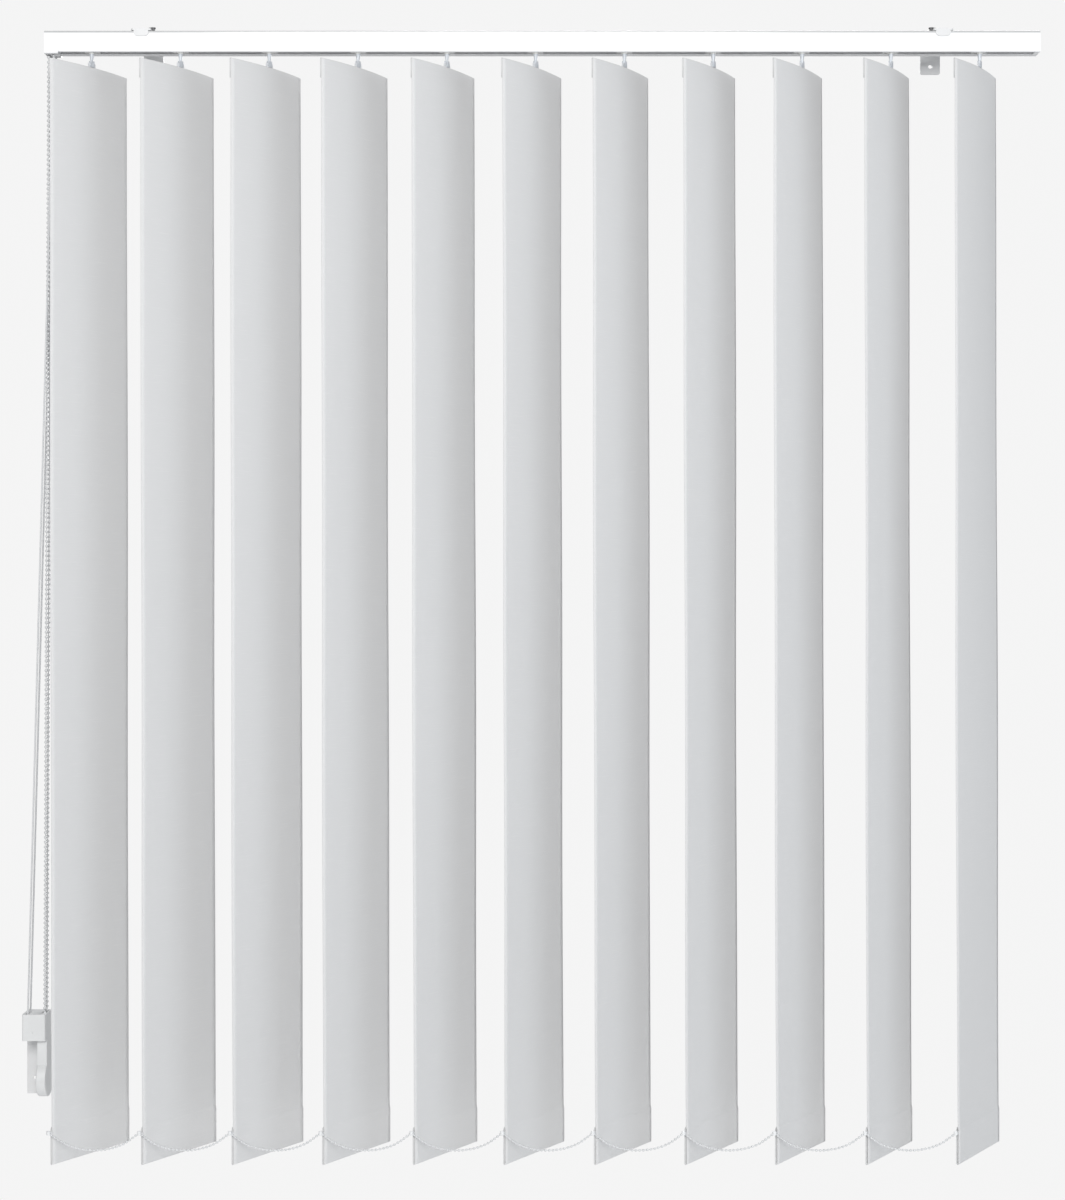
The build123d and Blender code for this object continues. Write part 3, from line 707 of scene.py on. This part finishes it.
bottomChain = {
    "thread": 0.00065,
    "sides": 6,
    "bead": 0.0016,
    "pitch": 0.0046,
    "step": 0.02,
    "clipUnder": 0.0003,
    "dips": [(0.2, 0.0165), (0.5, 0.0225), (0.8, 0.0165), (1.0, 0.0), (1.0, 0.0)],  # one span
    "gathered": 0.2,  # of its length is left when the vanes are stacked
}


def makeBottomChain():
    low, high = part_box("bottom_chain")
    pitch = (jointPoint("vane_02_turn") - jointPoint("vane_01_turn")).x
    clip = jointPoint("bottom_chain_turn")
    start = Vector((clip.x, (low.y + high.y) / 2, high.z - bottomChain["clipUnder"]))
    route = [start]
    for gap in range(vaneCount - 1):
        for share, depth in bottomChain["dips"]:
            route.append(start + Vector(((gap + share) * pitch, 0, -depth)))
    hung = thinned(spline(route), bottomChain["step"])
    thread = tubeMesh("bottomChainThread", hung, bottomChain["thread"], bottomChain["sides"])
    count = round(pathLength(hung) / bottomChain["pitch"])
    strung = beads("bottomChainBeads", spaced(hung, count, 0.0), bottomChain["bead"])
    for piece in (thread, strung):
        paint(piece, beadWhite)
        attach(piece, "bottom_chain")
    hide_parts("bottom_chain")
    round(pathLength(hung), 3)
    for piece in (thread, strung):
        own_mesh(piece)


makeDrawCord()
makeBeadChain()
makeBottomChain()
print("cords and chains made")


vane = {
    "top": -0.0275,
    "bottom": -1.3725,
    "width": 0.127,
    "bow": 0.006,
    "cloth": 0.0005,
    "topFold": 0.024,
    "bottomFold": 0.046,
    "acrossSteps": 20,
    "rows": 56,
    "bendSteps": 6,
    "seed": 40,
    "flatten": 0.8,  # how the bow goes out towards the weight
    "twist": 0.8,  # degrees, at most
    "curl": 0.1,
    "wave": 0.0006,
    "waves": 3.1,  # half waves down the vane
    "hangerThick": 0.0010,
    "hangerGap": 0.0001,
    "weightThick": 0.0020,
    "weightGap": 0.0003,
    "seam": 0.0006,  # how far the cloth stands off its middle at the pocket's seam
    "mouth": [(0.0015, 0.7), (0.0040, 1.0)],  # under the seam, and how far it is open there
    "foldEnd": 0.92,
    "backClear": 1.05,  # cloth thicknesses between the seam's front and back
    "turn": 55.0,
}
weightOut = vane["bow"] / 3  # the weight hangs this far in front of the pivot


def clothProfile(top, bottom):
    # the middle of the cloth from the end of its top fold, over the hanger, down the front
    # and round the weight: height, and how far it stands from the vane's middle
    half = (vane["hangerThick"] + vane["cloth"]) / 2 + vane["hangerGap"]
    deep = (vane["weightThick"] + vane["cloth"]) / 2 + vane["weightGap"]
    turns = [math.pi * i / vane["bendSteps"] for i in range(vane["bendSteps"] + 1)]
    seam = vane["seam"]
    rows = [(top - vane["topFold"], half * vane["foldEnd"]), (top - vane["topFold"] / 2, half)]
    rows += [(top - half + half * math.sin(a), half * math.cos(a)) for a in turns]
    pocketTop = bottom + vane["bottomFold"]
    for i in range(1, vane["rows"]):
        t = i / vane["rows"]
        rows.append((top - half + (pocketTop - top + half) * t, -half + (half - seam) * t ** 3))
    rows.append((pocketTop, -seam))
    rows += [(pocketTop - under, -deep * share) for under, share in vane["mouth"]]
    rows += [(bottom + deep - deep * math.sin(a), -deep * math.cos(a)) for a in turns]
    rows += [(pocketTop - under, deep * share) for under, share in reversed(vane["mouth"])]
    rows.append((pocketTop, -seam + vane["cloth"] * vane["backClear"]))
    return rows


def makeCloth(number, top, bottom):
    dice = random.Random(vane["seed"] + number)
    twist = math.radians(dice.uniform(-vane["twist"], vane["twist"]))
    curl = dice.uniform(-vane["curl"], vane["curl"])
    rows = clothProfile(top, bottom)
    steps = vane["acrossSteps"]
    half = vane["width"] / 2
    lengths = [0.0]
    for (z, offset), (nextZ, nextOffset) in zip(rows, rows[1:]):
        lengths.append(lengths[-1] + math.hypot(nextZ - z, nextOffset - offset))
    bpy.ops.object.select_all(action="DESELECT")
    bpy.ops.mesh.primitive_grid_add(x_subdivisions=steps, y_subdivisions=len(rows) - 1, size=1)
    sheet = named(f"vaneCloth{number:02d}")
    weave = sheet.data.uv_layers[0]
    weave.name = "weave"
    place = {}
    for vert in sheet.data.vertices:
        across = vert.co.x * 2
        row = round((0.5 - vert.co.y) * (len(rows) - 1))
        z, offset = rows[row]
        down = min(1, max(0, (top - z) / (top - bottom - vane["bottomFold"])))
        free = math.sin(math.pi * down)  # hanger and weight hold both ends true
        bow = vane["bow"] * (1 + curl * free) * (1 - down) ** vane["flatten"]
        wave = vane["wave"] * free * math.sin(vane["waves"] * down * math.pi + number) * across
        out = weightOut * down + bow * across ** 2 + offset + wave
        vert.co = Matrix.Rotation(twist * free, 3, "Z") @ Vector((half * across, out, z))
        shift = number * 0.31  # no two vanes show the same stretch of cloth
        place[vert.index] = (half * across + half + shift, lengths[row])
    for loop in sheet.data.loops:
        weave.data[loop.index].uv = place[loop.vertex_index]
    bpy.ops.object.shade_smooth()
    apply(sheet, "SOLIDIFY", thickness=vane["cloth"], offset=0.0)
    return sheet, lengths[-1]


hanger = {
    "width": 0.100,
    "height": 0.018,
    "roofGap": 0.0004,
    "tongue": 0.012,
    "rise": 0.005,
    "hole": 0.0013,
    "holeUnder": 0.0025,
    "holeLong": 0.01,
    "holeSides": 20,
    "round": 0.00025,
    "cuts": 8,
}


def makeHanger(top):
    half, tongue = hanger["width"] / 2, hanger["tongue"] / 2
    thick, cuts = vane["hangerThick"] / 2, hanger["cuts"]
    roof = top - hanger["roofGap"]
    card = plate("hangerCard", (-half, -thick, top - hanger["height"]), (half, thick, roof))
    apply(card, "BEVEL", width=hanger["round"], segments=2)
    ringsAt(card, [-tongue, tongue], (1, 0, 0))
    ringsAt(card, [half * (2 * i / cuts - 1) for i in range(1, cuts)], (1, 0, 0))

    def onTop(face):
        return face.normal.z > facing and abs(face.center.x) < tongue

    pull(card, onTop, (0, 0, hanger["rise"] + hanger["roofGap"]))
    centre = (0, 0, top + hanger["rise"] - hanger["holeUnder"])
    hole = rod("hole", centre, hanger["hole"], hanger["holeLong"], "Y", hanger["holeSides"])
    combine(card, hole, "DIFFERENCE")
    for vert in card.data.vertices:
        vert.co.y += vane["bow"] * (2 * vert.co.x / vane["width"]) ** 2
    return card


weight = {
    "width": 0.118,
    "height": 0.040,
    "up": 0.0009,  # over the bottom of the pocket
    "round": 0.0003,
    "clipUp": 0.040,
    "reach": 0.0685,
    "arm": 0.003,
    "armThick": 0.0016,
    "knob": 0.0024,
    "knobHigh": 0.005,
    "knobDown": 0.0005,
    "knobSides": 24,
    "knobRound": 0.0008,
}


def makeWeight(bottom):
    thick, half = vane["weightThick"] / 2, weight["width"] / 2
    low = bottom + weight["up"]
    high = low + weight["height"]
    clipZ = bottom + weight["clipUp"]
    body = plate("weightBody", (-half, weightOut - thick, low), (half, weightOut + thick, high))
    ringsAt(body, [clipZ - weight["arm"], clipZ], (0, 0, 1))
    inset = thick - weight["armThick"] / 2
    ringsAt(body, [weightOut - thick + inset, weightOut + thick - inset], (0, 1, 0))

    def armFace(face):
        centred = abs(face.center.y - weightOut) < weight["armThick"] / 2
        level = clipZ - weight["arm"] < face.center.z < clipZ
        return face.normal.x < -facing and centred and level

    pull(body, armFace, (half - weight["reach"], 0, 0))
    apply(body, "BEVEL", width=weight["round"], segments=2, angle_limit=1.0)
    centre = (-weight["reach"], weightOut, clipZ - weight["knobDown"])
    knob = rod("knob", centre, weight["knob"], weight["knobHigh"], "Z", weight["knobSides"])
    apply(knob, "BEVEL", width=weight["knobRound"], segments=3, angle_limit=0.8)
    combine(body, knob, "UNION")
    return body


def makeVanes():
    top, bottom = vane["top"], vane["bottom"]
    card = makeHanger(top)
    ballast = makeWeight(bottom)
    turned = Matrix.Rotation(math.radians(vane["turn"]), 4, "Z")
    for number in range(1, vaneCount + 1):
        pivot = jointPoint(f"vane_{number:02d}_turn")
        move = Matrix.Translation((pivot.x, pivot.y, 0)) @ turned
        body = f"vane_{number:02d}"
        sheet, length = makeCloth(number, top, bottom)
        sheet.data.transform(move)
        paint(sheet, clothLook)
        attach(sheet, body)
        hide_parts(body)
        for template, material in ((card, hangerClear), (ballast, weightWhite)):
            part = copyPiece(template, f"{template.name}{number:02d}", move)
            finishPiece(part, material, body)
    bpy.data.objects.remove(card)
    bpy.data.objects.remove(ballast)


makeVanes()
print("vanes made")


nodeLooks = {
    "headrail": railWhite,
    "control_end_cap": capWhite,
    "idler_end_cap": capWhite,
    "idler_pulley": wormWhite,
    "wall_bracket": bracketSteel,
    "bracket_lever": leverGrey,
    "rivets": rivetSteel,
    "tilt_rod": rodAluminium,
    "chain_sprocket": sprocketGrey,
    "tensioner_housing": tensionerWhite,
    "tensioner_bracket": bracketSteel,
    "carrier": carrierWhite,
    "worm": wormWhite,
    "hook": hookClear,
}


def dressNodes():
    for name, node in frame["nodes"].items():
        look = next((m for start, m in nodeLooks.items() if name.startswith(start)), None)
        if look:
            paint(node, look)


dressNodes()
print("nodes dressed")
